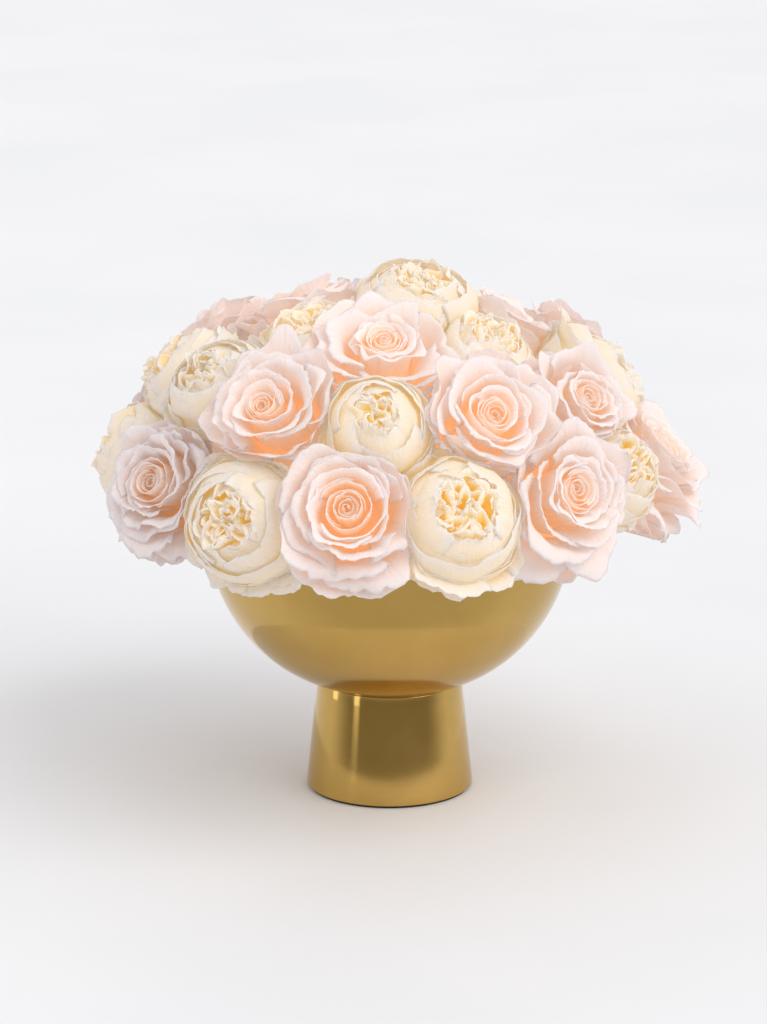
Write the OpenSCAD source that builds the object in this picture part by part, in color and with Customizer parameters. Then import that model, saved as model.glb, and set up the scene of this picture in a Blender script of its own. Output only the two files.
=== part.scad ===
// A gold footed bowl that holds a dome of preserved roses.
// Millimetres, +Z up. The origin is the centre of the base, on the surface the bowl stands on.
// The front faces -Y. The roses, foam and liner are one insert, which lifts out of the bowl.

/* [Bowl] */
// Outside width of the bowl at its rim
bowl_w = 184; // [180:1:188]
// Height of the rim above the surface
rim_z = 148; // [147:0.5:149]
// Height from the underside of the bowl to where its side becomes upright
bowl_depth = 99.5; // [98:0.5:100]
// Thickness of the bowl's metal
bowl_wall = 1.2; // [0.8:0.1:1.6]

/* [Foot] */
// Outside width of the foot at the bottom
foot_w = 82.8; // [78:0.2:92]
// Outside width of the foot where it meets the bowl
foot_neck_w = 71.2; // [70:0.2:74]
// Thickness of the foot's metal
foot_wall = 1.5; // [1:0.1:2]

/* [Roses] */
// Width of an open rose head
rose_w = 62; // [58:1:63]
// Length of a rose head from its base to its face
rose_l = 56; // [53:1:57]
// Gap left between two heads that press on each other
rose_gap = 0.3; // [0.3:0.1:1]

/* [Hidden] */
$fn = 96;

// Bowl: the outline is a superellipse that is upright at this height.
upright_z = 150;
bowl_curve = 2.3;
bowl_steps = 26;
bowl_flat = 0.5;
under_z = upright_z - bowl_depth + bowl_flat;
floor_z = under_z + bowl_wall;

// Foot and its pad
pad_t = 1.2;
pad_inset = 1.5;
foot_lip = 9;
foot_top_z = under_z + 5.4;
plate_t = 3;

// Screw that holds the bowl on the foot
screw_r = 3;
screw_hole_r = 3.3;
screw_head_r = 6;
screw_head_h = 3.6;
screw_end_z = under_z - plate_t - 10;
key_w = 4;
key_depth = 2.4;
seal_r = 7.5;
seal_t = 1.2;
lock_washer_r = 6;
lock_washer_t = 1.6;
nut_w = 10;
nut_h = 5;

// Insert: liner and foam
liner_gap = 0.4;
liner_wall = 0.9;
liner_head_gap = 1.2;
liner_rim_drop = 3;
liner_floor_z = floor_z + seal_t + screw_head_h + liner_head_gap;
liner_rim_z = rim_z - liner_rim_drop;
dome_r = 79;
dome_h = 38;
dome_z = rim_z;
dome_steps = 18;

// Stems. Those of steep roses go deeper into the foam.
stem_r = 2.2;
stem_hole_r = 2.4;
stem_deep = 26;
steep_tilt = 30;
steep_stem_deep = 36;
calyx_r = 6.5;
calyx_l = 5;

// Head: where along its length its middle and its widest place lie, and how its outline curves behind and in
// front of that place. Heads press on each other when their middles are nearer than rose_w + press_reach.
middle_at = 0.62;
widest_at = 0.68;
curve_behind = 0.8;
curve_in_front = 0.9;
head_steps = 16;
press_reach = 12;

// Rings of roses. A ring is [distance of the head's base from the axis, height of the base, tilt above level].
low_ring = [88, 158, 18];
middle_ring = [69, 184, 37];
upper_ring = [35, 192, 66];
crown_ring = [8, 209, 80];

// Each rose is [colour, direction of its base seen from above, how far the head turns from that direction,
// how much more it tilts than its ring]. A direction of 0 is the front, and + is to the right.
low_roses = [
    ["cream", -92, 0, 0], ["blush", -66, 26, 0], ["cream", -37, 12, -8], ["blush", -11, 9, 5],
    ["cream", 16, -4, 6], ["blush", 45, -14, 3], ["cream", 70, -26, 9], ["blush", 95, -17, 4],
    ["cream", 120, 0, 0], ["blush", 145, 0, 0], ["cream", 169, 0, 0], ["blush", 194, 0, 0],
    ["cream", 219, 0, 0], ["blush", 244, 0, 0]
];
middle_roses = [
    ["cream", -66, 19, 13], ["blush", -37, 14, 2], ["cream", -4, 1, 1], ["blush", 29, -9, -1],
    ["blush", 65, -19, -5], ["cream", 93, 0, -9], ["blush", 121, 0, 0], ["cream", 150, 0, 0],
    ["blush", 179, 0, 0], ["cream", 208, 0, 0], ["blush", 237, 0, 0], ["cream", 266, 0, 0]
];
upper_roses = [
    ["blush", -9, 16, -4], ["cream", 57, 14, -4], ["blush", 114, -8, -12], ["cream", 173, 0, 0],
    ["blush", 233, 0, 0], ["cream", 300, 0, 13]
];
crown_roses = [["cream", 90, 0, 0]];

// One list of all the roses: [colour, direction, turn, base distance, base height, tilt].
function ring_of(ring, roses) = [for (r = roses) [r[0], r[1], r[2], ring[0], ring[1], ring[2] + r[3]]];
roses = concat(
    ring_of(low_ring, low_roses),
    ring_of(middle_ring, middle_roses),
    ring_of(upper_ring, upper_roses),
    ring_of(crown_ring, crown_roses)
);

function two_digits(n) = n < 10 ? str("0", n) : str(n);
function rose_name(i) = str(roses[i][0], "_rose_", two_digits(i + 1));

gold = [0.72, 0.56, 0.28];
steel = [0.7, 0.7, 0.72];
blush = [0.97, 0.82, 0.76];
cream = [0.98, 0.93, 0.78];
green = [0.45, 0.52, 0.3];
foam_green = [0.42, 0.5, 0.38];
rubber_black = [0.12, 0.12, 0.12];
felt_brown = [0.2, 0.16, 0.12];
liner_clear = [0.85, 0.87, 0.85];

// ---- Shared outlines ----

// Points down the side of the bowl, from the upright height to the flat at the bottom.
function bowl_side(half_w, depth, flat_z) = [
    for (i = [0 : bowl_steps])
        let (t = 90 * i / bowl_steps)
        [
            half_w * pow(cos(t), 2 / bowl_curve),
            max(flat_z, upright_z - depth * pow(sin(t), 2 / bowl_curve))
        ]
];

// The solid a bowl-shaped skin encloses, inset from the outside of the bowl and cut level at the top.
module bowl_fill(inset, flat_z, top_z) {
    intersection() {
        rotate_extrude()
            polygon(concat([[0, upright_z]], bowl_side(bowl_w / 2 - inset, bowl_depth - inset, flat_z)));
        cylinder(r = bowl_w, h = top_z);
    }
}

module washer(r, hole_r, z, t) {
    translate([0, 0, z])
        difference() {
            cylinder(r = r, h = t);
            translate([0, 0, -1])
                cylinder(r = hole_r, h = t + 2);
        }
}

// ---- Bowl and foot ----

module bowl() {
    color(gold)
        difference() {
            bowl_fill(0, under_z, rim_z);
            bowl_fill(bowl_wall, floor_z, rim_z + 1);
            cylinder(r = screw_hole_r, h = rim_z);
        }
}

// Outside radius of the foot at a height.
function foot_r(z) = foot_w / 2 + (foot_neck_w - foot_w) / 2 * (z - pad_t) / (foot_top_z - pad_t);

module foot() {
    color(gold)
        difference() {
            rotate_extrude()
                polygon([
                    [foot_r(pad_t) - foot_lip, pad_t],
                    [foot_r(pad_t), pad_t],
                    [foot_r(foot_top_z), foot_top_z],
                    [foot_r(foot_top_z) - foot_wall, foot_top_z],
                    [foot_r(pad_t) - foot_wall, pad_t + foot_wall],
                    [foot_r(pad_t) - foot_lip, pad_t + foot_wall]
                ]);
            bowl_fill(0, under_z, rim_z);
        }
}

// Disc fixed across the inside of the foot's neck; the screw pulls the bowl down on it.
module foot_plate() {
    z = under_z - plate_t;
    color(gold)
        washer(foot_r(under_z) - foot_wall - 0.1, screw_hole_r, z, plate_t);
}

module bowl_screw() {
    head_z = floor_z + seal_t;
    color(steel)
        difference() {
            union() {
                translate([0, 0, screw_end_z])
                    cylinder(r = screw_r, h = head_z - screw_end_z);
                translate([0, 0, head_z])
                    cylinder(r = screw_head_r, h = screw_head_h);
            }
            translate([0, 0, head_z + screw_head_h - key_depth])
                cylinder(d = key_w / cos(30), h = screw_head_h, $fn = 6);
        }
}

module seal_washer() {
    color(rubber_black)
        washer(seal_r, screw_hole_r, floor_z, seal_t);
}

module lock_washer() {
    color(steel)
        washer(lock_washer_r, screw_hole_r, under_z - plate_t - lock_washer_t, lock_washer_t);
}

module screw_nut() {
    color(steel)
        translate([0, 0, under_z - plate_t - lock_washer_t - nut_h])
            difference() {
                cylinder(d = nut_w / cos(30), h = nut_h, $fn = 6);
                translate([0, 0, -1])
                    cylinder(r = screw_r, h = nut_h + 2);
            }
}

module base_pad() {
    r = foot_r(pad_t) - pad_inset;
    color(felt_brown)
        washer(r, r - foot_lip + 2 * pad_inset, 0, pad_t);
}

// ---- Insert ----

module liner() {
    color(liner_clear)
        difference() {
            bowl_fill(bowl_wall + liner_gap, liner_floor_z, liner_rim_z);
            bowl_fill(bowl_wall + liner_gap + liner_wall, liner_floor_z + liner_wall, rim_z);
        }
}

// Points over the dome of the foam, from its edge to its top.
function dome_arc() = [
    for (i = [0 : dome_steps])
        let (t = 90 * i / dome_steps)
        [dome_r * cos(t), dome_z + dome_h * sin(t)]
];

module foam() {
    color(foam_green)
        difference() {
            union() {
                bowl_fill(bowl_wall + liner_gap + liner_wall, liner_floor_z + liner_wall, liner_rim_z);
                rotate_extrude()
                    polygon(concat([[0, dome_z], [0, liner_rim_z - 1], [dome_r, liner_rim_z - 1]], dome_arc()));
            }
            for (r = roses)
                at_rose(r)
                    stem(r, stem_hole_r, 1);
        }
}

// ---- Roses ----

// Puts a solid at a rose's base, with +Z along the way the rose faces.
module at_rose(r) {
    translate(rose_base(r))
        rotate([90 - r[5], 0, r[1] + r[2]])
            children();
}

function rose_base(r) = [r[3] * sin(r[1]), -r[3] * cos(r[1]), r[4]];
function rose_way(r) = [cos(r[5]) * sin(r[1] + r[2]), -cos(r[5]) * cos(r[1] + r[2]), sin(r[5])];
function rose_middle(r) = rose_base(r) + rose_way(r) * rose_l * middle_at;

// Depth from a rose's base to the bottom of its hole in the foam.
function stem_l(r) = r[5] < steep_tilt ? stem_deep : steep_stem_deep;

module stem(r, radius, extra) {
    translate([0, 0, -stem_l(r) - extra])
        cylinder(r = radius, h = stem_l(r) + extra);
}

module rose_stems() {
    color(green)
        for (r = roses)
            at_rose(r)
                translate([0, 0, -calyx_l])
                    stem(r, stem_r, -calyx_l);
}

module rose_calyxes() {
    color(green)
        for (r = roses)
            at_rose(r)
                translate([0, 0, -calyx_l])
                    cylinder(r1 = stem_r, r2 = calyx_r, h = calyx_l);
}

// Outline of a head: narrow at the base, widest near the face, rounded over in front.
function head_side() = [
    for (i = [0 : head_steps])
        let (t = -90 + 180 * i / head_steps, widest = rose_l * widest_at)
        [
            max(t < 0 ? calyx_r : 0, rose_w / 2 * pow(cos(t), t < 0 ? curve_behind : curve_in_front)),
            widest + (t < 0 ? widest : rose_l - widest) * sin(t)
        ]
];

module head() {
    rotate_extrude()
        polygon(concat([[0, rose_l], [0, 0]], head_side()));
}

// Everything on the far side of the plane halfway between two roses.
module far_side(a, b) {
    from = rose_middle(a);
    way = rose_middle(b) - from;
    far = norm(way);
    reach = 2 * rose_w;
    translate(from)
        rotate([0, acos(way[2] / far), atan2(way[1], way[0])])
            translate([-reach / 2, -reach / 2, far / 2 - rose_gap / 2])
                cube([reach, reach, reach]);
}

// A head, pressed flat where it meets its neighbours and where it rests on the rim.
module rose(i) {
    near = rose_w + press_reach;
    color(roses[i][0] == "blush" ? blush : cream)
        difference() {
            at_rose(roses[i])
                head();
            for (j = [0 : len(roses) - 1])
                if (j != i && norm(rose_middle(roses[j]) - rose_middle(roses[i])) < near)
                    far_side(roses[i], roses[j]);
            cylinder(r = bowl_w / 2 + rose_gap, h = rim_z + rose_gap);
        }
}

bowl();
foot();
foot_plate();
bowl_screw();
seal_washer();
lock_washer();
screw_nut();
base_pad();
liner();
foam();
rose_stems();
rose_calyxes();
for (i = [0 : len(roses) - 1])
    rose(i);
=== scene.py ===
"""A gold footed bowl holding a dome of blush and cream preserved roses.

Shapes are worked out in millimetres and turned into metres where a mesh is made. Places of lights and of the
camera are in metres. The front faces -Y, and Z is up.
"""

import math
from dataclasses import dataclass

import bpy
import numpy as np
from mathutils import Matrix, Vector


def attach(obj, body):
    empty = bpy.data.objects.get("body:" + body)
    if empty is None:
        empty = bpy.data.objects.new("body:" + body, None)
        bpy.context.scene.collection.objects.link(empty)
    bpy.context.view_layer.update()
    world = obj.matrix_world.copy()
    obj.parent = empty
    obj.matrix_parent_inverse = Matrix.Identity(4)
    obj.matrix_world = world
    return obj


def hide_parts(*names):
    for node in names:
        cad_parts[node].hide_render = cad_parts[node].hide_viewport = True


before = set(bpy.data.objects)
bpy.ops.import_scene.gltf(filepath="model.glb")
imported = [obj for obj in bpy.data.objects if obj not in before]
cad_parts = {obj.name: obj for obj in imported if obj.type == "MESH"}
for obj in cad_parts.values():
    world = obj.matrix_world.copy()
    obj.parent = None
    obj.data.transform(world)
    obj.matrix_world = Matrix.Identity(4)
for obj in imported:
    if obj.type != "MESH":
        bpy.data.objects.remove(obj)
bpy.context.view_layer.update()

MM = 0.001
GOLDEN_ANGLE = math.radians(137.5)

# Bowl and foot, as in the CAD: the side of the bowl is a superellipse that is upright at UPRIGHT_Z.
RIM_Z = 148.0
BOWL_R = 92.0
BOWL_DEPTH = 99.5
BOWL_WALL = 1.2
BOWL_CURVE = 2.3
UPRIGHT_Z = 150.0
UNDER_Z = 51.0
SCREW_HOLE_R = 3.3
PAD_T = 1.2
FOOT_R = 41.4
FOOT_NECK_R = 35.6
FOOT_TOP_Z = 56.4
FOOT_WALL = 1.5

# Rose heads, as in the CAD: MIDDLE_AT is where a head's middle lies along its length.
ROSE_L = 56.0
ROSE_R = 31.0
MIDDLE_AT = 0.62
# Heads press on each other when their middles are nearer than their two radii and this.
PRESS_REACH = 14

# Thickness of petals at their foot: in blush roses, in cup and guard petals, and in the folded lobes.
BLUSH_PETAL_T = 0.4
CUP_PETAL_T = 0.45
LOBE_T = 0.8

# Rings of roses: distance of the base from the axis, height of the base, and tilt.
RINGS = [(88.0, 158.0, 18.0), (69.0, 184.0, 37.0), (35.0, 192.0, 66.0), (8.0, 209.0, 80.0)]


@dataclass
class Rose:
    """One rose head, with angles in degrees."""
    kind: str
    direction: float      # of its base seen from above: 0 is the front, and + is to the right
    turn: float = 0       # of the head, away from that direction
    lift: float = 0       # how much more it tilts than its ring
    nod: float = 4        # how much further up its face looks than its middle
    size: float = 1.0     # how wide open it is
    warmth_and_glow: float = 0.8   # how deep the colour of its heart is, and how strong its painted glow is, so that a low value also paints the rose darker, as if in shade
    mouth: float = 0.85   # how open the cup of a cream rose is
    tip: float = 0        # how far its face tips to the front


ROSES = [
    [
        Rose("cream", -92),
        Rose("blush", -66, turn=26, nod=5, warmth_and_glow=0.5),
        Rose("cream", -37, turn=12, lift=-8, warmth_and_glow=0.8),
        Rose("blush", -11, turn=9, lift=5, nod=12, size=1.04, warmth_and_glow=0.85),
        Rose("cream", 16, turn=-4, lift=6, nod=20, size=1.06, warmth_and_glow=1.0, mouth=0.85),
        Rose("blush", 45, turn=-14, lift=3, nod=2, size=1.04, warmth_and_glow=0.9),
        Rose("cream", 70, turn=-26, lift=9, nod=10, size=0.76, warmth_and_glow=1.0, mouth=1.0),
        Rose("blush", 95, turn=-17, lift=4, nod=30, size=1.2, warmth_and_glow=0.9),
        Rose("cream", 120, nod=14),
        Rose("blush", 145, nod=14, warmth_and_glow=0.4),
        Rose("cream", 169, nod=14),
        Rose("blush", 194, nod=14, warmth_and_glow=0.8),
        Rose("cream", 219, nod=14),
        Rose("blush", 244, nod=14, warmth_and_glow=0.4),
    ],
    [
        Rose("cream", -66, turn=19, lift=13, size=1.04, warmth_and_glow=0.7, mouth=0.65),
        Rose("blush", -37, turn=14, lift=2, warmth_and_glow=0.9),
        Rose("cream", -4, turn=1, lift=1, size=0.98, warmth_and_glow=1.0, mouth=0.65),
        Rose("blush", 29, turn=-9, lift=-1, nod=0, warmth_and_glow=1.0),
        Rose("blush", 65, turn=-19, lift=-5, nod=0, size=0.88, warmth_and_glow=0.9),
        Rose("cream", 93, lift=-9, nod=0, size=1.2),
        Rose("blush", 121, warmth_and_glow=1.0),
        Rose("cream", 150),
        Rose("blush", 179, warmth_and_glow=0.4),
        Rose("cream", 208),
        Rose("blush", 237, warmth_and_glow=0.8),
        Rose("cream", 266),
    ],
    [
        Rose("blush", -9, turn=16, lift=-4, nod=0, size=1.28, warmth_and_glow=1.0),
        Rose("cream", 57, turn=14, lift=-4, nod=0, size=0.94, warmth_and_glow=1.0, tip=14),
        Rose("blush", 114, turn=-8, lift=-12, nod=0, warmth_and_glow=1.0),
        Rose("cream", 173, nod=0),
        Rose("blush", 233, nod=0, warmth_and_glow=1.0),
        Rose("cream", 300, lift=13, nod=0, size=0.92, warmth_and_glow=1.0, mouth=1.0, tip=12),
    ],
    [Rose("cream", 90, nod=0, warmth_and_glow=0.9, mouth=1.0, tip=16)],
]


# ---------------------------------------------------------------- meshes

def new_object(name, verts, faces, smooth=True):
    """A mesh object from points in millimetres."""
    mesh = bpy.data.meshes.new(name)
    mesh.from_pydata((np.asarray(verts) * MM).tolist(), [], faces)
    mesh.update()
    if smooth:
        mesh.shade_smooth()
    obj = bpy.data.objects.new(name, mesh)
    bpy.context.scene.collection.objects.link(obj)
    return obj


def settle(obj, body, material, slot, *nodes):
    """Gives a piece its material and body, and hides the CAD nodes that it stands for."""
    obj.data.materials.clear()
    obj.data.materials.append(material)
    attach(obj, body)
    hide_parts(*nodes)
    return obj


def grid_faces(rows, cols, first=0, flip=False):
    """Quads between the points of a grid."""
    r, c = np.meshgrid(np.arange(rows - 1), np.arange(cols - 1), indexing="ij")
    a = (r * cols + c).ravel() + first
    quads = np.stack([a, a + 1, a + cols + 1, a + cols], 1)
    return quads[:, ::-1] if flip else quads


def lathe(name, outline, segments=128):
    """A closed outline of (radius, height) points turned about the Z axis."""
    outline = np.asarray(outline, float)
    n = len(outline)
    turn = np.linspace(0, 2 * math.pi, segments, endpoint=False)
    x = outline[None, :, 0] * np.cos(turn)[:, None]
    y = outline[None, :, 0] * np.sin(turn)[:, None]
    z = np.broadcast_to(outline[None, :, 1], x.shape)
    verts = np.stack([x, y, z], 2).reshape(-1, 3)
    faces = []
    for i in range(segments):
        j = (i + 1) % segments
        for k in range(n):
            m = (k + 1) % n
            faces.append((i * n + k, j * n + k, j * n + m, i * n + m))
    return new_object(name, verts, faces)


# ---------------------------------------------------------------- petals

@dataclass
class Petal:
    """The shape of one petal. Angles are in degrees, apart from turn; leans are measured above level."""
    foot: tuple            # radius and height where it grows from the head
    rim: tuple             # radius and height where its rim starts to turn back
    lean_foot: float       # lean at its foot
    lean_rim: float        # lean at its rim
    side_lean: float       # how much less its two sides lean at the rim
    roll: float            # how far its rim turns back
    rim_len: float         # length of the part that turns back
    span: float            # half of the angle that it covers round the head
    round: float           # how much shorter its sides are than its middle
    tip: float             # how far its point stands out
    off: float             # where its point is, from -1 to 1 across
    turn: float            # the way it grows, seen along the head, in radians
    spiral: float          # how much further out one of its sides is
    ruffle: float          # size of the waves along its rim
    dent: float            # size of the broad waves over its face
    fringe: float = 0.0    # size of the notches in its rim
    crease: float = 0.0    # depth of its lengthwise creases
    corner: float = 0.35   # how much of the turning back is left to its sides, so that its middle is a point


class PetalMesh:
    """Gathers thick petals, with their colour data, into one mesh."""

    def __init__(self, warmth_and_glow):
        self.warmth_and_glow = warmth_and_glow
        self.points = []
        self.faces = []
        self.colours = []
        self.uvs = []
        self.count = 0

    def add(self, grid, along, across, layer, chance, thickness, thinning=0.45):
        """One petal from a grid of points, closed all round.

        Its colour data are along, from 0 at the foot to 1 at the rim; layer, from 0 in the heart to 1
        outside; and chance, a random number for the whole petal.
        """
        rows, cols, _ = grid.shape
        normal = np.cross(np.gradient(grid, axis=0), np.gradient(grid, axis=1))
        normal /= np.linalg.norm(normal, axis=2, keepdims=True) + 1e-9
        half = (thickness / 2) * (1.0 - thinning * along[..., None])
        front = (grid + normal * half).reshape(-1, 3)
        back = (grid - normal * half).reshape(-1, 3)
        n = rows * cols
        first = self.count
        index = np.arange(n).reshape(rows, cols)
        edge = np.concatenate([index[0, :-1], index[:-1, -1], index[-1, :0:-1], index[:0:-1, 0]])
        after = np.roll(edge, -1)
        side = np.stack([edge, after, after + n, edge + n], 1) + first
        self.points += [front, back]
        self.faces += [grid_faces(rows, cols, first, flip=True), grid_faces(rows, cols, first + n), side]
        tone = np.stack([along, np.full_like(along, layer), np.full_like(along, chance)], 2).reshape(-1, 3)
        self.colours += [tone, tone]
        uv = np.stack([across * 0.5 + 0.5, along], 2).reshape(-1, 2)
        self.uvs += [uv, uv]
        self.count += 2 * n

    def stretch(self, way, by):
        """Narrows the head a little across one direction, as a real one is never quite round."""
        c, d = math.cos(way), math.sin(way)
        turn = np.array([[c, -d], [d, c]])
        flat = turn @ np.diag([by, 1.0]) @ turn.T
        for points in self.points:
            points[:, :2] = points[:, :2] @ flat

    def build(self, name, change):
        """The finished object; change moves all its points at once, given them and the chance of each."""
        colours = np.concatenate(self.colours)
        points = change(np.concatenate(self.points), colours[:, 2])
        faces = np.concatenate(self.faces)
        mesh = bpy.data.meshes.new(name)
        mesh.vertices.add(len(points))
        mesh.vertices.foreach_set("co", (points * MM).astype(np.float32).ravel())
        mesh.loops.add(faces.size)
        mesh.loops.foreach_set("vertex_index", faces.astype(np.int32).ravel())
        mesh.polygons.add(len(faces))
        mesh.polygons.foreach_set("loop_start", np.arange(0, faces.size, 4, dtype=np.int32))
        mesh.update(calc_edges=True)
        tone = mesh.color_attributes.new("petal", "FLOAT_COLOR", "POINT")
        warmth_and_glow = np.full(len(colours), self.warmth_and_glow)
        tone.data.foreach_set("color", np.c_[colours, warmth_and_glow].astype(np.float32).ravel())
        uv = mesh.uv_layers.new(name="UVMap")
        uv.data.foreach_set("uv", np.concatenate(self.uvs)[faces.ravel()].astype(np.float32).ravel())
        mesh.shade_smooth()
        obj = bpy.data.objects.new(name, mesh)
        bpy.context.scene.collection.objects.link(obj)
        return obj


def smooth_noise(rng, angle, waves, strength):
    """A sum of random waves round an angle."""
    total = np.zeros_like(angle)
    for w in waves:
        total = total + rng.normal(0, strength) * np.sin(angle * w + rng.uniform(0, 2 * math.pi))
    return total


def petal_side(p, s, lean_out):
    """The curve up a petal's side, at places s from its foot to where its rim starts to turn."""
    lean_in = math.radians(p.lean_foot)
    r0, z0 = p.foot
    r1, z1 = p.rim
    chord = math.hypot(r1 - r0, z1 - z0)
    from_foot = 0.42 * chord
    from_rim = 0.36 * chord
    radii = [r0, r0 + from_foot * math.cos(lean_in), r1 - from_rim * np.cos(lean_out), r1]
    heights = [z0, z0 + from_foot * math.sin(lean_in), z1 - from_rim * np.sin(lean_out), z1]
    # Weights of a cubic Bezier curve.
    weights = [(1 - s) ** 3, 3 * s * (1 - s) ** 2, 3 * s ** 2 * (1 - s), s ** 3]
    r = sum(w * v for w, v in zip(weights, radii))
    z = sum(w * v for w, v in zip(weights, heights))
    return r, z


def petal_roll(rng, p, across, rolled, lean_out):
    """How far outward and upward the rim reaches as it turns back; rolled is how much of it has turned."""
    sideways = np.abs(across - p.off) ** 1.5
    unevenness = 1.0 + smooth_noise(rng, across, (2, 3.5, 6), 0.18)
    roll = np.radians(p.roll) * (1.0 - p.corner + 1.5 * p.corner * sideways) * unevenness
    least_roll = 0.01
    roll = np.where(np.abs(roll) < least_roll, least_roll, roll)
    end = lean_out - roll * rolled
    outward = p.rim_len * (np.sin(lean_out) - np.sin(end)) / roll
    upward = p.rim_len * (np.cos(end) - np.cos(lean_out)) / roll
    return outward, upward


def petal_waves(rng, p, r, z, angle, across, along):
    """Adds dents, ruffles, crinkles and creases to a petal's radii and heights, mostly near its rim."""
    edge = along ** 3
    # Each noise is given its numbers of waves: the dents are the broadest and the crinkles the finest.
    r = r + along * smooth_noise(rng, across * math.pi, (0.7, 1.3), p.dent)
    r = r + edge * smooth_noise(rng, angle, (2, 3, 5, 8), p.ruffle * 0.55)
    z = z + edge * smooth_noise(rng, angle, (2, 4, 7, 11), p.ruffle * 0.5)
    crinkle = along ** 5 * smooth_noise(rng, angle, (15, 22, 31), p.ruffle * 0.2)
    # The number and place of the creases follow from the petal's turn.
    crease_count = 4.5 + 1.5 * math.sin(7 * p.turn)
    creases = np.abs(np.sin(across * crease_count + 5 * p.turn)) - 0.6
    r = r + p.crease * along ** 2 * creases
    z = z + along ** 6 * smooth_noise(rng, angle, (17, 27), p.ruffle * 0.12)
    least_r = 0.25
    return np.maximum(r + crinkle, least_r), z


def petal_grid(rng, p, rows=18, cols=25):
    """Points of one petal in its head's frame, with how far along and across the petal each one is."""
    across, along = np.meshgrid(np.linspace(-1, 1, cols), np.linspace(0, 1, rows) ** 0.85)
    point_width = 0.22
    point = np.exp(-((across - p.off) / point_width) ** 2)
    fringe = smooth_noise(rng, across * math.pi, (9, 14, 19), p.fringe)
    reach = along * (1.0 - p.round * np.abs(across) ** 3 + 0.04 * p.tip * point + fringe * along ** 8)
    straight_part = 0.76
    most_rolled = 1.4
    s = np.clip(reach / straight_part, 0, 1)
    rolled = np.clip((reach - straight_part) / (1 - straight_part), 0, most_rolled)

    lean_out = np.radians(p.lean_rim - p.side_lean * across ** 2)
    r, z = petal_side(p, s, lean_out)
    outward, upward = petal_roll(rng, p, across, rolled, lean_out)
    r = r + outward
    z = z + upward

    # At its foot a petal covers a third of the angle that it covers at its rim.
    half_span = math.radians(p.span) * (0.34 + 0.66 * along ** 0.6)
    angle = p.turn + across * half_span
    r = r + p.spiral * across * along + p.tip * point * along ** 3
    r, z = petal_waves(rng, p, r, z, angle, across, along)
    grid = np.stack([r * np.cos(angle), r * np.sin(angle), z], 2)
    return grid, along, across


def uneven(rng, count, spread):
    """Numbers from 0 to 1 that rise by uneven steps."""
    steps = rng.uniform(1 - spread, 1 + spread, count - 1)
    return np.concatenate([[0.0], np.cumsum(steps) / steps.sum()])


def blush_rose(rng, rose):
    """An open hybrid-tea rose: a tight spiral heart, then broad petals whose rims turn back into points."""
    mesh = PetalMesh(rose.warmth_and_glow)
    petals = 27
    open_by = 1.04
    # Each list of values below holds at these places, from the heart at 0 to the outermost petal at 1.
    value_places = (0, 0.34, 0.46, 0.64, 0.86, 1)
    start = rng.uniform(0, 2 * math.pi)
    drift = rng.normal(0, 1.2, 2)
    for k, place_out in enumerate(uneven(rng, petals, 0.7)):
        t = k / (petals - 1)

        def along_rose(*values, at=t):
            """A value for this petal, from the heart to the outside."""
            return float(np.interp(at, value_places, values))

        shape = Petal(
            foot=(along_rose(1, 2, 2.5, 3.5, 4.5, 5), along_rose(26, 17, 13, 6, 2, 1)),
            rim=(
                along_rose(1.2, 7.0, 10.8, 17.0, 25.5, 30, at=place_out) * rng.uniform(0.96, 1.04) * open_by,
                along_rose(49.5, 52, 53, 52, 46, 38) + rng.normal(0, 1.1),
            ),
            lean_foot=along_rose(88, 76, 62, 42, 26, 14),
            lean_rim=along_rose(98, 92, 84, 70, 52, 28) + rng.normal(0, 6),
            side_lean=along_rose(0, 4, 8, 14, 22, 28),
            roll=along_rose(12, 30, 70, 120, 140, 120) * rng.uniform(0.6, 1.3),
            rim_len=along_rose(0.8, 1.2, 2.4, 4.6, 7.0, 7.0) * rng.uniform(0.75, 1.25),
            corner=along_rose(0.2, 0.3, 0.5, 0.7, 0.75, 0.7),
            span=along_rose(150, 118, 96, 74, 62, 56) * rng.uniform(0.88, 1.12),
            round=along_rose(0.03, 0.05, 0.08, 0.16, 0.22, 0.26),
            tip=along_rose(0, 0.2, 0.6, 1.4, 2.2, 3.0) * rng.uniform(0.2, 1.7),
            off=rng.uniform(-0.45, 0.45),
            turn=start + k * GOLDEN_ANGLE + rng.normal(0, 0.24),
            spiral=along_rose(0.5, 0.9, 1.4, 2.2, 1.8, 1.2),
            ruffle=along_rose(0.12, 0.25, 0.55, 1.1, 1.7, 2.1),
            dent=along_rose(0.1, 0.25, 0.5, 0.9, 1.0, 1.0),
            fringe=along_rose(0, 0, 0.002, 0.006, 0.010, 0.014),
            crease=along_rose(0, 0.3, 0.8, 1.8, 2.4, 2.4),
        )
        grid, along, across = petal_grid(rng, shape, cols=25 if t < 0.5 else 33)
        grid[..., :2] += drift * (1 - t)
        paling = along_rose(3.0, 2.0, 1.4, 1.0, 1.0, 1.0)
        mesh.add(grid, along ** paling, across, t, rng.uniform(), BLUSH_PETAL_T)
    add_guard_petals(rng, mesh, start)
    mesh.stretch(rng.uniform(0, math.pi), rng.uniform(0.92, 1.0))
    return mesh


def add_guard_petals(rng, mesh, start, rim_z=31, count=8):
    """Broad petals low on a head, which spread into the gaps between it and its neighbours."""
    guard_layer = 0.75
    for k in range(count):
        shape = Petal(
            foot=(6, 2),
            rim=(34 + rng.normal(0, 1.5), rim_z + rng.normal(0, 4.0)),
            lean_foot=12,
            lean_rim=45 + rng.normal(0, 12),
            side_lean=20,
            roll=rng.uniform(0, 60),
            rim_len=3.0,
            span=46,
            round=0.24,
            tip=2.0,
            off=rng.uniform(-0.3, 0.3),
            turn=start + k * 2 * math.pi / count + rng.normal(0, 0.2),
            spiral=1.0,
            ruffle=1.8,
            dent=1.0,
            fringe=0.012,
        )
        mesh.add(*petal_grid(rng, shape, cols=33), guard_layer, rng.uniform(), CUP_PETAL_T)


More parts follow.
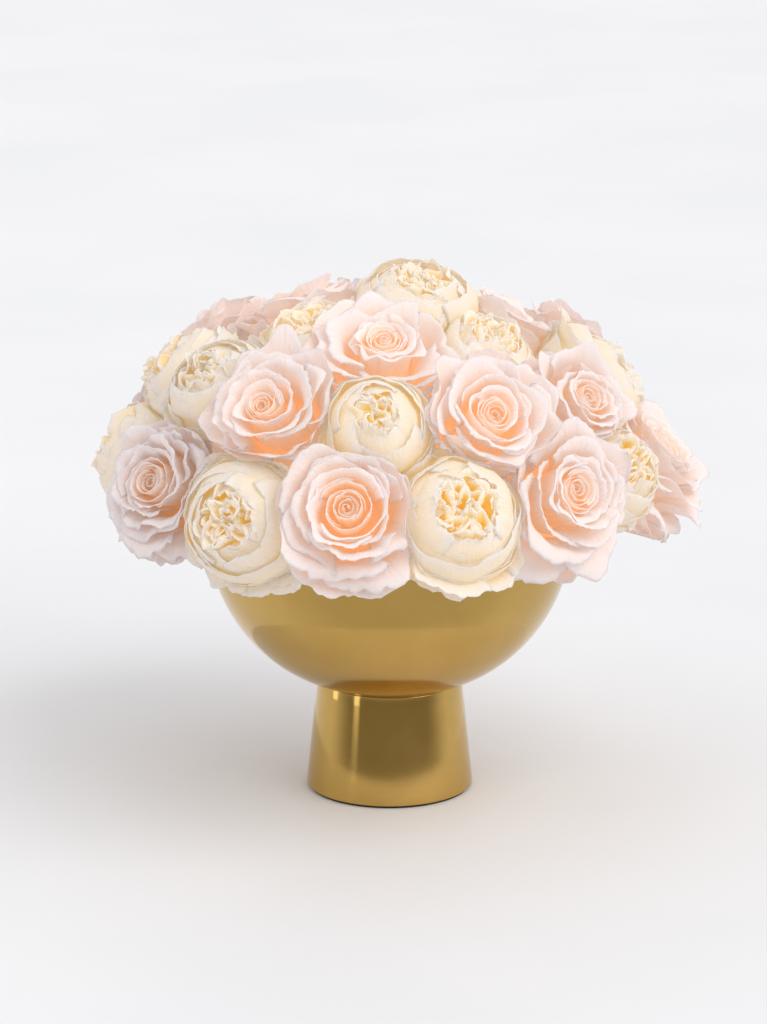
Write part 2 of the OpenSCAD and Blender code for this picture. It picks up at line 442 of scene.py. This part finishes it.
def cream_rose(rng, rose):
    """A cup-shaped garden rose: smooth petals that wrap each other, round a heart of folded golden lobes."""
    mesh = PetalMesh(rose.warmth_and_glow)
    open_by = 1.03
    start = rng.uniform(0, 2 * math.pi)
    # Rim radius and height, lean, roll, half span, count and ruffle of each layer of the cup, outside first.
    layers = [
        (31.0, 28, 60, 40, 60, 4, 1.8),
        (30.5, 35, 100, 10, 72, 4, 0.9),
        (27.6, 42, 124, 0, 78, 4, 0.6),
        (23.4, 47, 140, 0, 80, 4, 0.6),
        (18.6, 50.5, 148, 10, 70, 4, 0.9),
        (16.2, 51.5, 124, 35, 46, 5, 1.4),
    ]
    turn = start
    step_between_layers = 0.7
    for level, (rim_r, rim_z, lean, roll, span, count, ruffle) in enumerate(layers):
        closed = 1 - (1 - rose.mouth) * level / (len(layers) - 1)
        for _ in range(count):
            turn += 2 * math.pi / count + rng.normal(0, 0.15)
            shape = Petal(
                foot=(5.0 - level * 0.7, 1.0 + 1.7 * level),
                rim=(rim_r * closed * rng.uniform(0.94, 1.04) * open_by, rim_z + rng.normal(0, 1.8)),
                lean_foot=4 + 7 * level,
                lean_rim=lean + rng.normal(0, 6),
                side_lean=8,
                roll=roll + rng.normal(0, 14),
                rim_len=3.2,
                corner=0.5,
                span=span * rng.uniform(0.9, 1.1),
                round=0.24,
                tip=0.7,
                off=rng.uniform(-0.3, 0.3),
                turn=turn,
                spiral=1.2,
                ruffle=ruffle,
                dent=0.5,
                fringe=0.006,
                crease=0.7,
            )
            layer = 1.0 - 0.11 * level
            mesh.add(*petal_grid(rng, shape, cols=33), layer, rng.uniform(), CUP_PETAL_T)
        turn += step_between_layers
    most_lobes = 34
    widest_heart = 14
    add_lobes(rng, mesh, start, round(most_lobes * rose.mouth ** 1.5), widest_heart * rose.mouth)
    add_guard_petals(rng, mesh, start, rim_z=29, count=6)
    mesh.stretch(rng.uniform(0, math.pi), rng.uniform(0.92, 1.0))
    return mesh


def add_lobes(rng, mesh, start, count, heart_r):
    """Short petals folded over at all angles, which fill the heart of a cup."""
    for k in range(count):
        t = k / (count - 1)
        rim_r = 1.2 + heart_r * t ** 0.6
        half_width = rng.uniform(3.5, 7.0)
        shape = Petal(
            foot=(0.6 + 6.0 * t, 27 - 6 * t),
            rim=(rim_r, 50 + 1.5 * t + rng.normal(0, 1.2)),
            lean_foot=74,
            lean_rim=92 + rng.normal(0, 14),
            side_lean=rng.normal(0, 14),
            roll=rng.choice([-1, 1]) * rng.uniform(50, 130),
            rim_len=rng.uniform(3.0, 5.5),
            corner=0.2,
            span=min(math.degrees(half_width / rim_r), 75),
            round=0.3,
            tip=0.0,
            off=0.0,
            turn=start + k * GOLDEN_ANGLE + rng.normal(0, 0.3),
            spiral=rng.choice([-1, 1]) * rng.uniform(0.3, 1.0) * min(5.0, rim_r * 0.6),
            ruffle=1.1,
            dent=0.8,
        )
        grid, along, across = petal_grid(rng, shape, rows=18, cols=19)
        mesh.add(grid, along ** 3, across, 0.35 * t, rng.uniform(), LOBE_T, thinning=0.1)


# ---------------------------------------------------------------- placing the roses

def direction(turn, tilt):
    """The way a head points, for a turn from the front and a tilt above level, both in degrees."""
    a, e = math.radians(turn), math.radians(tilt)
    return np.array([math.cos(e) * math.sin(a), -math.cos(e) * math.cos(a), math.sin(e)])


class Place:
    """Where one rose head sits and how it faces."""

    def __init__(self, order, ring, rose):
        self.order = order
        self.rose = rose
        base_r, base_z, ring_tilt = ring
        self.tilt = ring_tilt + rose.lift
        self.turn = rose.direction + rose.turn
        self.base = base_r * direction(rose.direction, 0) + np.array([0, 0, base_z])
        self.way = direction(self.turn, self.tilt)
        self.middle = self.base + self.way * ROSE_L * MIDDLE_AT

    def tip_to_front(self, points):
        """Lowers the front of a head's face, as seen from the front, by the rose's tip."""
        a, e = math.radians(self.turn), math.radians(self.tilt)
        to_front = -math.sin(a) * points[:, 0] - math.sin(e) * math.cos(a) * points[:, 1]
        hinge = 20  # how far behind the head's axis nothing moves
        slope = math.tan(math.radians(self.rose.tip))
        points[:, 2] -= slope * (to_front + hinge) * (points[:, 2] / ROSE_L) ** 2

    def put(self, points):
        """Points of a head in its own frame, set in place; the head bends so that its face looks up more."""
        points = points * np.array([self.rose.size, self.rose.size, 1.0])
        self.tip_to_front(points)
        side, rise, along = points.T
        depth = np.clip(along, 0, ROSE_L)
        beyond = along - depth
        bend_steps = 57
        steps = np.linspace(0, ROSE_L, bend_steps)
        # The tilt starts a little low and ends high, and its mean is the CAD's tilt.
        tilt = np.radians(self.tilt + self.rose.nod * (steps / ROSE_L - 0.5) * 1.6)
        out = np.concatenate([[0], np.cumsum(np.cos(tilt[:-1]) * np.diff(steps))])
        up = np.concatenate([[0], np.cumsum(np.sin(tilt[:-1]) * np.diff(steps))])
        here = np.interp(depth, steps, tilt)
        far = np.interp(depth, steps, out) - np.sin(here) * rise + np.cos(here) * beyond
        high = np.interp(depth, steps, up) + np.cos(here) * rise + np.sin(here) * beyond
        # The level ways outward and across, and the way up.
        axes = np.stack([direction(self.turn, 0), direction(self.turn + 90, 0), direction(0, 90)])
        return self.base + np.stack([far, side, high], 1) @ axes


def press(points, chance, place, others):
    """Keeps a head on its own side of a wavy wall halfway to each neighbour, squeezing what would cross it.

    chance is a random number from 0 to 1 for each petal, which lets some petals reach over the wall.
    """
    soft = 5.0        # depth of the squeezed part in front of the wall
    reach_over = 5.0  # how much further some petals reach than others
    overlap = 0.6     # how far both heads reach past the middle
    x, y, z = points.T
    for other in others:
        gap = other.middle - place.middle
        far = np.linalg.norm(gap)
        if far > 2 * ROSE_R + PRESS_REACH:
            continue
        way = gap / far
        # Both heads of a pair see the same waves in the wall between them.
        pair = place.order + other.order
        wave = 1.8 * np.sin(0.25 * z + pair) + 1.6 * np.sin(0.24 * x + 0.19 * y + 2 * pair)
        if place.order > other.order:
            wave = -wave
        wall = far * place.rose.size / (place.rose.size + other.rose.size) + overlap
        inside = (points - place.middle) @ way - wall - wave - reach_over * (chance - 0.5) + soft
        squeezed = soft * (1 - np.exp(-np.clip(inside, 0, None) / soft))
        shift = np.where(inside > 0, squeezed - inside, 0)
        points = points + shift[:, None] * way
    return points


def clear_rim(points, gap=0.8):
    """Moves points out of the bowl's wall: outward if they are near its outside, or else up over the rim."""
    r = np.hypot(points[:, 0], points[:, 1])
    out = BOWL_R + gap - r
    up = RIM_Z + gap - points[:, 2]
    inside = (out > 0) & (up > 0)
    outward = inside & (out < up)
    upward = inside & ~outward
    scale = np.where(outward, (r + out) / np.maximum(r, 1), 1.0)
    points = points * np.stack([scale, scale, np.ones_like(scale)], 1)
    points[:, 2] += np.where(upward, up, 0)
    return points


def make_rose(place, others, maker, look):
    """The petals of one rose head, in place of its CAD cup."""
    kind = place.rose.kind
    node_name = f"{kind}_rose_{place.order + 1:02d}"

    def set_in_place(points, chance):
        points = place.put(points)
        points = press(points, chance, place, others)
        return clear_rim(points)

    rng = np.random.default_rng(100 + place.order)
    head = maker(rng, place.rose).build(f"{node_name}_petals", set_in_place)
    settle(head, "arrangement", look, f"{kind}_petal", node_name)


# ---------------------------------------------------------------- materials

class Nodes:
    """A short way to write the node tree of a material or of the world."""

    def __init__(self, owner):
        self.owner = owner
        owner.use_nodes = True
        self.tree = owner.node_tree
        self.tree.nodes.clear()

    def add(self, kind, **inputs):
        """A node; each keyword sets an input by its name, to a value or to another node's socket."""
        node = self.tree.nodes.new("ShaderNode" + kind)
        for name, value in inputs.items():
            self.put(node.inputs[name.replace("_", " ")], value)
        return node

    def put(self, socket, value):
        """Sets a socket to a value, or links it to another node's socket."""
        if isinstance(value, bpy.types.NodeSocket):
            self.tree.links.new(value, socket)
        elif isinstance(value, tuple) and len(value) == 3 and socket.type == "RGBA":
            socket.default_value = (*value, 1.0)
        else:
            socket.default_value = value

    def mix(self, factor, a, b):
        """A blend of two colours; inputs 6 and 7 and output 2 of the node are the ones for colours."""
        node = self.tree.nodes.new("ShaderNodeMix")
        node.data_type = "RGBA"
        self.put(node.inputs[0], factor)
        self.put(node.inputs[6], a)
        self.put(node.inputs[7], b)
        return node.outputs[2]

    def mix_value(self, factor, a, b):
        """A blend of two numbers; inputs 2 and 3 of the node are the ones for numbers."""
        node = self.tree.nodes.new("ShaderNodeMix")
        self.put(node.inputs[0], factor)
        self.put(node.inputs[2], a)
        self.put(node.inputs[3], b)
        return node.outputs[0]

    def step(self, value, low, high, to_low=0.0, to_high=1.0):
        """A value carried smoothly from one range to another."""
        node = self.tree.nodes.new("ShaderNodeMapRange")
        node.interpolation_type = "SMOOTHSTEP"
        for i, v in enumerate((value, low, high, to_low, to_high)):
            self.put(node.inputs[i], v)
        return node.outputs[0]

    def maths(self, operation, a, b=0.0):
        """The result of a sum or other operation on two numbers."""
        node = self.tree.nodes.new("ShaderNodeMath")
        node.operation = operation
        self.put(node.inputs[0], a)
        self.put(node.inputs[1], b)
        return node.outputs[0]

    def noise(self, vector, scale, detail=2.0, rough=0.5):
        """Cloudy noise, from 0 to 1."""
        node = self.add("TexNoise", Vector=vector, Scale=scale, Detail=detail, Roughness=rough)
        return node.outputs["Fac"]

    def streaks(self, uv, across, along, detail):
        """Noise with its own scales across and along a petal."""
        stretched = self.add("Mapping", Vector=uv, Scale=(across, along, 1.0)).outputs[0]
        return self.noise(stretched, 1.0, detail, 0.6)

    def bump(self, height, strength, distance):
        """A normal that follows a height."""
        node = self.add("Bump", Height=height, Strength=strength, Distance=distance)
        return node.outputs["Normal"]

    def blend(self, kind, first, second, **inputs):
        """Two shaders put together by a MixShader or an AddShader."""
        node = self.add(kind, **inputs)
        first_input = len(node.inputs) - 2
        self.tree.links.new(first.outputs[0], node.inputs[first_input])
        self.tree.links.new(second.outputs[0], node.inputs[first_input + 1])
        return node

    def finish(self, shader, output="OutputMaterial"):
        """Sends a shader to the output, and returns what owns the tree."""
        out = self.add(output)
        self.tree.links.new(shader, out.inputs["Surface"])
        return self.owner


def petal_colour(n, height, layer, chance, veins, deep, body, pale, heart_deep):
    """Colour of a petal: deep at its foot, deepest in the heart, pale at its rim, with faint deeper veins."""
    foot = n.mix(n.step(layer, 0.05, 0.5), heart_deep, deep)
    foot = n.mix(n.step(layer, 0.6, 1.0, 0.0, 0.6), foot, body)
    colour = n.mix(n.step(height, 0.25, 0.8), foot, body)
    rim = n.maths("MULTIPLY", n.step(height, 0.82, 1.0), n.step(layer, 0.0, 0.4, 0.5, 1.0))
    colour = n.mix(rim, colour, pale)
    colour = n.mix(n.step(veins, 0.45, 0.75, 0.0, 0.2), colour, deep)
    return n.mix(n.maths("MULTIPLY", chance, 0.14), colour, pale)


def painted_petal_glow(n, height, layer, warm, painted_glow_colour, body):
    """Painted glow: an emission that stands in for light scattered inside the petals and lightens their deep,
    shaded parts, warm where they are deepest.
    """
    at_rim = n.step(layer, 0.2, 0.7, 0.17, 0.07)
    half_way = n.step(layer, 0.2, 0.7, 0.16, 0.20)
    at_foot = 0.14
    inside = n.step(height, 0.1, 0.5, half_way, at_foot)
    # Strength of the painted glow, set by the height along the petal and by its layer, and scaled by the
    # rose's warmth.
    strength = n.maths("MULTIPLY", n.mix_value(n.step(height, 0.3, 1.0), inside, at_rim), warm)
    # Colour of the painted glow: warm deep in the petal, near the body colour at the rim.
    tint = n.mix(n.step(height, 0.4, 1.0, 0.0, 0.85), painted_glow_colour, body)
    return n.add("Emission", Color=tint, Strength=strength)


def petal_material(name, deep, body, pale, heart_deep, painted_glow_colour):
    """Petal: saturated at its foot, pale at its rim, finely veined, lit through by light from behind, and
    brightened by a painted glow.
    """
    n = Nodes(bpy.data.materials.new(name))
    place = n.add("TexCoord").outputs["Object"]
    uv = n.add("UVMap").outputs["UV"]
    tone = n.add("Attribute")
    tone.attribute_name = "petal"
    along, layer, chance = n.add("SeparateColor", Color=tone.outputs["Color"]).outputs
    # The fourth colour channel is the rose's warmth: it deepens the body colour and sets the strength of the
    # painted glow.
    warm = n.maths("MAXIMUM", tone.outputs["Alpha"], 0.3)
    body = n.mix(n.step(warm, 0.5, 1.0, 0.05, 0.15), body, deep)

    blotch = n.noise(place, 70.0, 3.0)
    height = n.maths("ADD", along, n.maths("MULTIPLY", n.maths("SUBTRACT", blotch, 0.5), 0.25))
    veins = n.streaks(uv, 60.0, 3.0, 3.0)
    folds = n.streaks(uv, 13.0, 2.5, 2.0)
    fine = n.noise(place, 900.0, 2.0)
    ribs = n.maths("ADD", n.maths("MULTIPLY", veins, 0.4), n.maths("MULTIPLY", fine, 0.15))
    normal = n.bump(n.maths("ADD", ribs, folds), 0.6, 0.0014)
    colour = petal_colour(n, height, layer, chance, veins, deep, body, pale, heart_deep)

    surface = n.add(
        "BsdfPrincipled", Base_Color=colour, Roughness=n.step(fine, 0.3, 0.7, 0.5, 0.66), Normal=normal,
        Specular_IOR_Level=0.32, Sheen_Weight=0.12, Sheen_Roughness=0.5,
    )
    through = n.add("BsdfTranslucent", Color=n.mix(0.1, colour, deep), Normal=normal)
    lit = n.blend("MixShader", surface, through, Fac=0.42)
    # The painted glow is added as emission, to lighten the deep and shaded parts of the petal.
    both = n.blend("AddShader", lit, painted_petal_glow(n, height, layer, warm, painted_glow_colour, body))
    material = n.finish(both.outputs[0])
    material.cycles.emission_sampling = "NONE"
    return material


def gold_material():
    """Satin gold, finely brushed round the axis, with faint smudges.

    The brush lines are noise that changes only with the distance from the axis and with height.
    """
    n = Nodes(bpy.data.materials.new("gold_metal"))
    place = n.add("TexCoord").outputs["Object"]
    x, y, z = n.add("SeparateXYZ", Vector=place).outputs
    radius = n.maths("SQRT", n.maths("ADD", n.maths("MULTIPLY", x, x), n.maths("MULTIPLY", y, y)))
    along = n.add("CombineXYZ", X=radius, Y=z, Z=0.0).outputs[0]
    lines = n.noise(along, 5200.0, 3.0, 0.6)
    smudge = n.noise(place, 22.0, 4.0, 0.6)
    warm = n.mix(n.step(smudge, 0.35, 0.7), (0.55, 0.355, 0.10), (0.60, 0.39, 0.12))
    colour = n.mix(n.step(lines, 0.35, 0.7, 0.0, 0.10), warm, (0.48, 0.30, 0.08))
    rough = n.maths("ADD", n.step(lines, 0.3, 0.7, 0.09, 0.13), n.step(smudge, 0.4, 0.7, 0.0, 0.04))
    metal = n.add(
        "BsdfPrincipled", Base_Color=colour, Metallic=1.0, Roughness=rough, Normal=n.bump(lines, 0.03, 0.0001)
    )
    return n.finish(metal.outputs[0])


def plain_material(name, light, dark, scale, roughness, metallic=0.0, relief=0.3):
    """A grained finish: two tones mixed by noise, uneven roughness, and a fine bump."""
    n = Nodes(bpy.data.materials.new(name))
    place = n.add("TexCoord").outputs["Object"]
    coarse = n.noise(place, scale, 4.0, 0.6)
    fine = n.noise(place, scale * 9, 3.0, 0.6)
    colour = n.mix(n.step(coarse, 0.3, 0.7), dark, light)
    colour = n.mix(n.step(fine, 0.4, 0.8, 0.0, 0.35), colour, dark)
    rough = n.step(fine, 0.3, 0.7, roughness - 0.08, roughness + 0.08)
    surface = n.add(
        "BsdfPrincipled", Base_Color=colour, Metallic=metallic, Roughness=rough,
        Normal=n.bump(fine, relief, 0.0005),
    )
    return n.finish(surface.outputs[0])


# ---------------------------------------------------------------- bowl and foot

def bowl_side(inset, bottom_r, steps=64):
    """Points down one side of the bowl's metal, from just under its rounded rim to the screw hole."""
    points = []
    for t in np.linspace(0, math.pi / 2, steps):
        r = (BOWL_R - inset) * max(math.cos(t), 0.0) ** (2 / BOWL_CURVE)
        z = UPRIGHT_Z - (BOWL_DEPTH - inset) * math.sin(t) ** (2 / BOWL_CURVE)
        if z <= RIM_Z - BOWL_WALL / 2 and r > bottom_r + 0.5:
            points.append((r, max(z, UNDER_Z + inset)))
    return points + [(bottom_r, UNDER_Z + inset)]


def make_bowl(gold):
    """The bowl's spun shell, with a rounded rim and a hole for its screw."""
    round_r = BOWL_WALL / 2
    rim = [
        (BOWL_R - round_r - round_r * math.cos(a), RIM_Z - round_r + round_r * math.sin(a))
        for a in np.linspace(0.2, math.pi - 0.2, 7)
    ]
    outline = bowl_side(0, SCREW_HOLE_R) + bowl_side(BOWL_WALL, SCREW_HOLE_R)[::-1] + rim
    return settle(lathe("bowl_shell", outline, 192), "bowl", gold, "gold_metal", "bowl")


def under_bowl_z(r):
    """Height of the bowl's underside at a radius."""
    w = (1 - (r / BOWL_R) ** BOWL_CURVE) ** (1 / BOWL_CURVE)
    return UPRIGHT_Z - BOWL_DEPTH * w


def foot_r(z):
    """Outside radius of the foot at a height."""
    return FOOT_R + (FOOT_NECK_R - FOOT_R) * (z - PAD_T) / (FOOT_TOP_Z - PAD_T)


def make_foot(gold):
    """The foot's tapered shell: a lip turned in at the bottom, softened edges, and a seat for the bowl."""
    lip_r = FOOT_R - 9
    top_z = under_bowl_z(FOOT_NECK_R + 0.3) - 0.1
    neck_r = foot_r(top_z)
    seat_z = under_bowl_z(FOOT_NECK_R - 1.4) - 0.15
    edge_r = FOOT_R - 0.1
    bottom = [(lip_r, PAD_T), (FOOT_R - 0.5, PAD_T), (edge_r, PAD_T + 0.25), (edge_r, PAD_T + 0.7)]
    side = [(foot_r(z), z) for z in np.linspace(PAD_T + 1.4, top_z - 0.8, 12)]
    top = [(neck_r - 0.15, top_z - 0.2), (neck_r - 0.5, top_z), (neck_r - FOOT_WALL + 0.1, seat_z)]
    high_z = 50
    inside = [(foot_r(high_z) - FOOT_WALL, high_z), (FOOT_R - 1.7, PAD_T + 1.6), (lip_r, PAD_T + FOOT_WALL)]
    outline = bottom + side + top + inside
    return settle(lathe("foot_shell", outline, 192), "bowl", gold, "gold_metal", "foot")


# ---------------------------------------------------------------- floor, light and camera

def floor_material():
    """Plain pale floor, with faint clouds and grain."""
    n = Nodes(bpy.data.materials.new("pale_floor"))
    place = n.add("TexCoord").outputs["Object"]
    cloud = n.noise(place, 4.0, 3.0)
    grain = n.noise(place, 400.0, 2.0)
    colour = n.mix(n.step(cloud, 0.3, 0.7), (0.78, 0.785, 0.80), (0.81, 0.81, 0.82))
    surface = n.add("BsdfPrincipled", Base_Color=colour, Roughness=0.6, Normal=n.bump(grain, 0.05, 0.0003))
    return n.finish(surface.outputs[0])


def flat_ring(name, inner, outer, segments=96):
    """A level ring on the floor, or a disc when inner is 0."""
    turn = np.linspace(0, 2 * math.pi, segments, endpoint=False)
    rim = np.stack([np.cos(turn), np.sin(turn), np.zeros(segments)], 1)
    if inner == 0:
        return new_object(name, rim * outer, [tuple(range(segments))], smooth=False)
    faces = [(i, (i + 1) % segments, segments + (i + 1) % segments, segments + i) for i in range(segments)]
    return new_object(name, np.concatenate([rim * inner, rim * outer]), faces, smooth=False)


def area_light(name, place, size, power, colour):
    """A rectangle of light that faces the middle of the object."""
    data = bpy.data.lights.new(name, "AREA")
    data.shape = "RECTANGLE"
    data.size, data.size_y = size
    data.energy = power
    data.color = colour
    lamp = bpy.data.objects.new(name, data)
    lamp.location = place
    middle = Vector((0, 0, 0.14))
    lamp.rotation_euler = (middle - Vector(place)).to_track_quat("-Z", "Y").to_euler()
    bpy.context.scene.collection.objects.link(lamp)
    return lamp


def sun(name, turn, height, strength, colour):
    """A broad soft light from far away; turn is from the front and height above level, in degrees."""
    data = bpy.data.lights.new(name, "SUN")
    data.angle = math.radians(50)
    data.energy = strength
    data.color = colour
    lamp = bpy.data.objects.new(name, data)
    lamp.rotation_euler = Vector(direction(turn, height)).to_track_quat("Z", "Y").to_euler()
    bpy.context.scene.collection.objects.link(lamp)
    return lamp


def make_world():
    """A pale room: bright above and behind, dimmer in front, and dimmest in front at eye level."""
    world = bpy.data.worlds.new("studio")
    bpy.context.scene.world = world
    n = Nodes(world)
    _, y, z = n.add("SeparateXYZ", Vector=n.add("TexCoord").outputs["Generated"]).outputs
    front = n.step(y, 0.2, -0.55)
    below = n.step(z, -0.13, -0.26)
    above = n.step(z, 0.05, 0.5)
    at_eye_level = (0.34, 0.32, 0.29)
    away_from_it = (0.80, 0.78, 0.75)
    ceiling = (0.93, 0.93, 0.94)
    behind = (0.98, 0.98, 1.0)
    light = n.mix(n.maths("MAXIMUM", below, above), at_eye_level, away_from_it)
    light = n.mix(above, light, ceiling)
    light = n.mix(front, behind, light)
    back = n.add("Background", Color=light, Strength=0.88)
    n.finish(back.outputs[0], "OutputWorld")


def make_stage():
    """The floor, the lights and the world. Only the near part of the floor is reflected in the gold."""
    floor_look = floor_material()
    near_r = 155
    far_r = 6000
    near = flat_ring("floor_near", 0, near_r)
    far = flat_ring("floor_far", near_r, far_r)
    for part in (near, far):
        part.data.materials.append(floor_look)
    far.visible_glossy = False
    key = sun("key_light", turn=52, height=42, strength=1.4, colour=(1.0, 0.995, 0.985))
    side_window = area_light("side_window", (-2.4, 0.1, 0.7), (0.45, 2.0), 3.5, (0.97, 0.98, 1.0))
    left_window = area_light("left_window", (-1.9, -1.5, 0.7), (0.4, 2.0), 4, (0.97, 0.98, 1.0))
    make_world()


def make_camera():
    """A camera in front that looks down a little, as the photograph's does."""
    look_down = 15
    data = bpy.data.cameras.new("camera")
    data.lens = 140.6
    data.sensor_width = 36
    data.clip_end = 20
    camera = bpy.data.objects.new("camera", data)
    camera.location = (-0.003, -1.8969, 0.648)
    camera.rotation_euler = (math.radians(90 - look_down), 0, 0)
    bpy.context.scene.collection.objects.link(camera)
    bpy.context.scene.camera = camera


# ---------------------------------------------------------------- build

gold = gold_material()
steel = plain_material(
    "zinc_steel", (0.62, 0.62, 0.60), (0.42, 0.42, 0.42), 300, 0.34, metallic=1.0, relief=0.1
)
rubber = plain_material("black_rubber", (0.03, 0.03, 0.03), (0.012, 0.012, 0.012), 400, 0.7)
felt = plain_material("brown_felt", (0.06, 0.045, 0.032), (0.02, 0.015, 0.01), 600, 0.92, relief=0.9)
frosted = plain_material("frosted_plastic", (0.62, 0.64, 0.61), (0.5, 0.53, 0.5), 60, 0.45)
foam_look = plain_material("floral_foam", (0.12, 0.17, 0.08), (0.05, 0.08, 0.035), 700, 0.95, relief=1.0)
stem_look = plain_material("stem", (0.16, 0.18, 0.06), (0.08, 0.09, 0.03), 240, 0.65)
calyx_look = plain_material("calyx", (0.17, 0.23, 0.08), (0.09, 0.13, 0.04), 200, 0.6)
blush_petal = petal_material(
    "blush_petal",
    deep=(0.97, 0.79, 0.58),
    body=(0.935, 0.885, 0.895),
    pale=(0.92, 0.89, 0.91),
    heart_deep=(0.97, 0.80, 0.62),
    painted_glow_colour=(1.0, 0.61, 0.36),
)
cream_petal = petal_material(
    "cream_petal",
    deep=(0.96, 0.80, 0.48),
    body=(0.925, 0.895, 0.87),
    pale=(0.905, 0.895, 0.91),
    heart_deep=(0.96, 0.76, 0.18),
    painted_glow_colour=(1.0, 0.69, 0.18),
)

make_bowl(gold)
make_foot(gold)
# These keep their CAD shapes and get a better material.
for node_name, material, slot_name in [
    ("foot_plate", gold, "gold_metal"),
    ("bowl_screw", steel, "steel"),
    ("seal_washer", rubber, "rubber"),
    ("lock_washer", steel, "steel"),
    ("screw_nut", steel, "steel"),
    ("base_pad", felt, "felt"),
    ("liner", frosted, "liner_plastic"),
    ("foam", foam_look, "floral_foam"),
    ("rose_stems", stem_look, "stem"),
    ("rose_calyxes", calyx_look, "calyx"),
]:
    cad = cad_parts[node_name]
    cad.data.materials.clear()
    cad.data.materials.append(material)

all_roses = [(ring, rose) for ring, roses in zip(RINGS, ROSES) for rose in roses]
places = [Place(order, ring, rose) for order, (ring, rose) in enumerate(all_roses)]
kinds = {"blush": (blush_rose, blush_petal), "cream": (cream_rose, cream_petal)}
for i, place in enumerate(places):
    maker, look = kinds[place.rose.kind]
    make_rose(place, places[:i] + places[i + 1:], maker, look)

make_stage()
make_camera()
bpy.context.scene.view_settings.view_transform = "Standard"
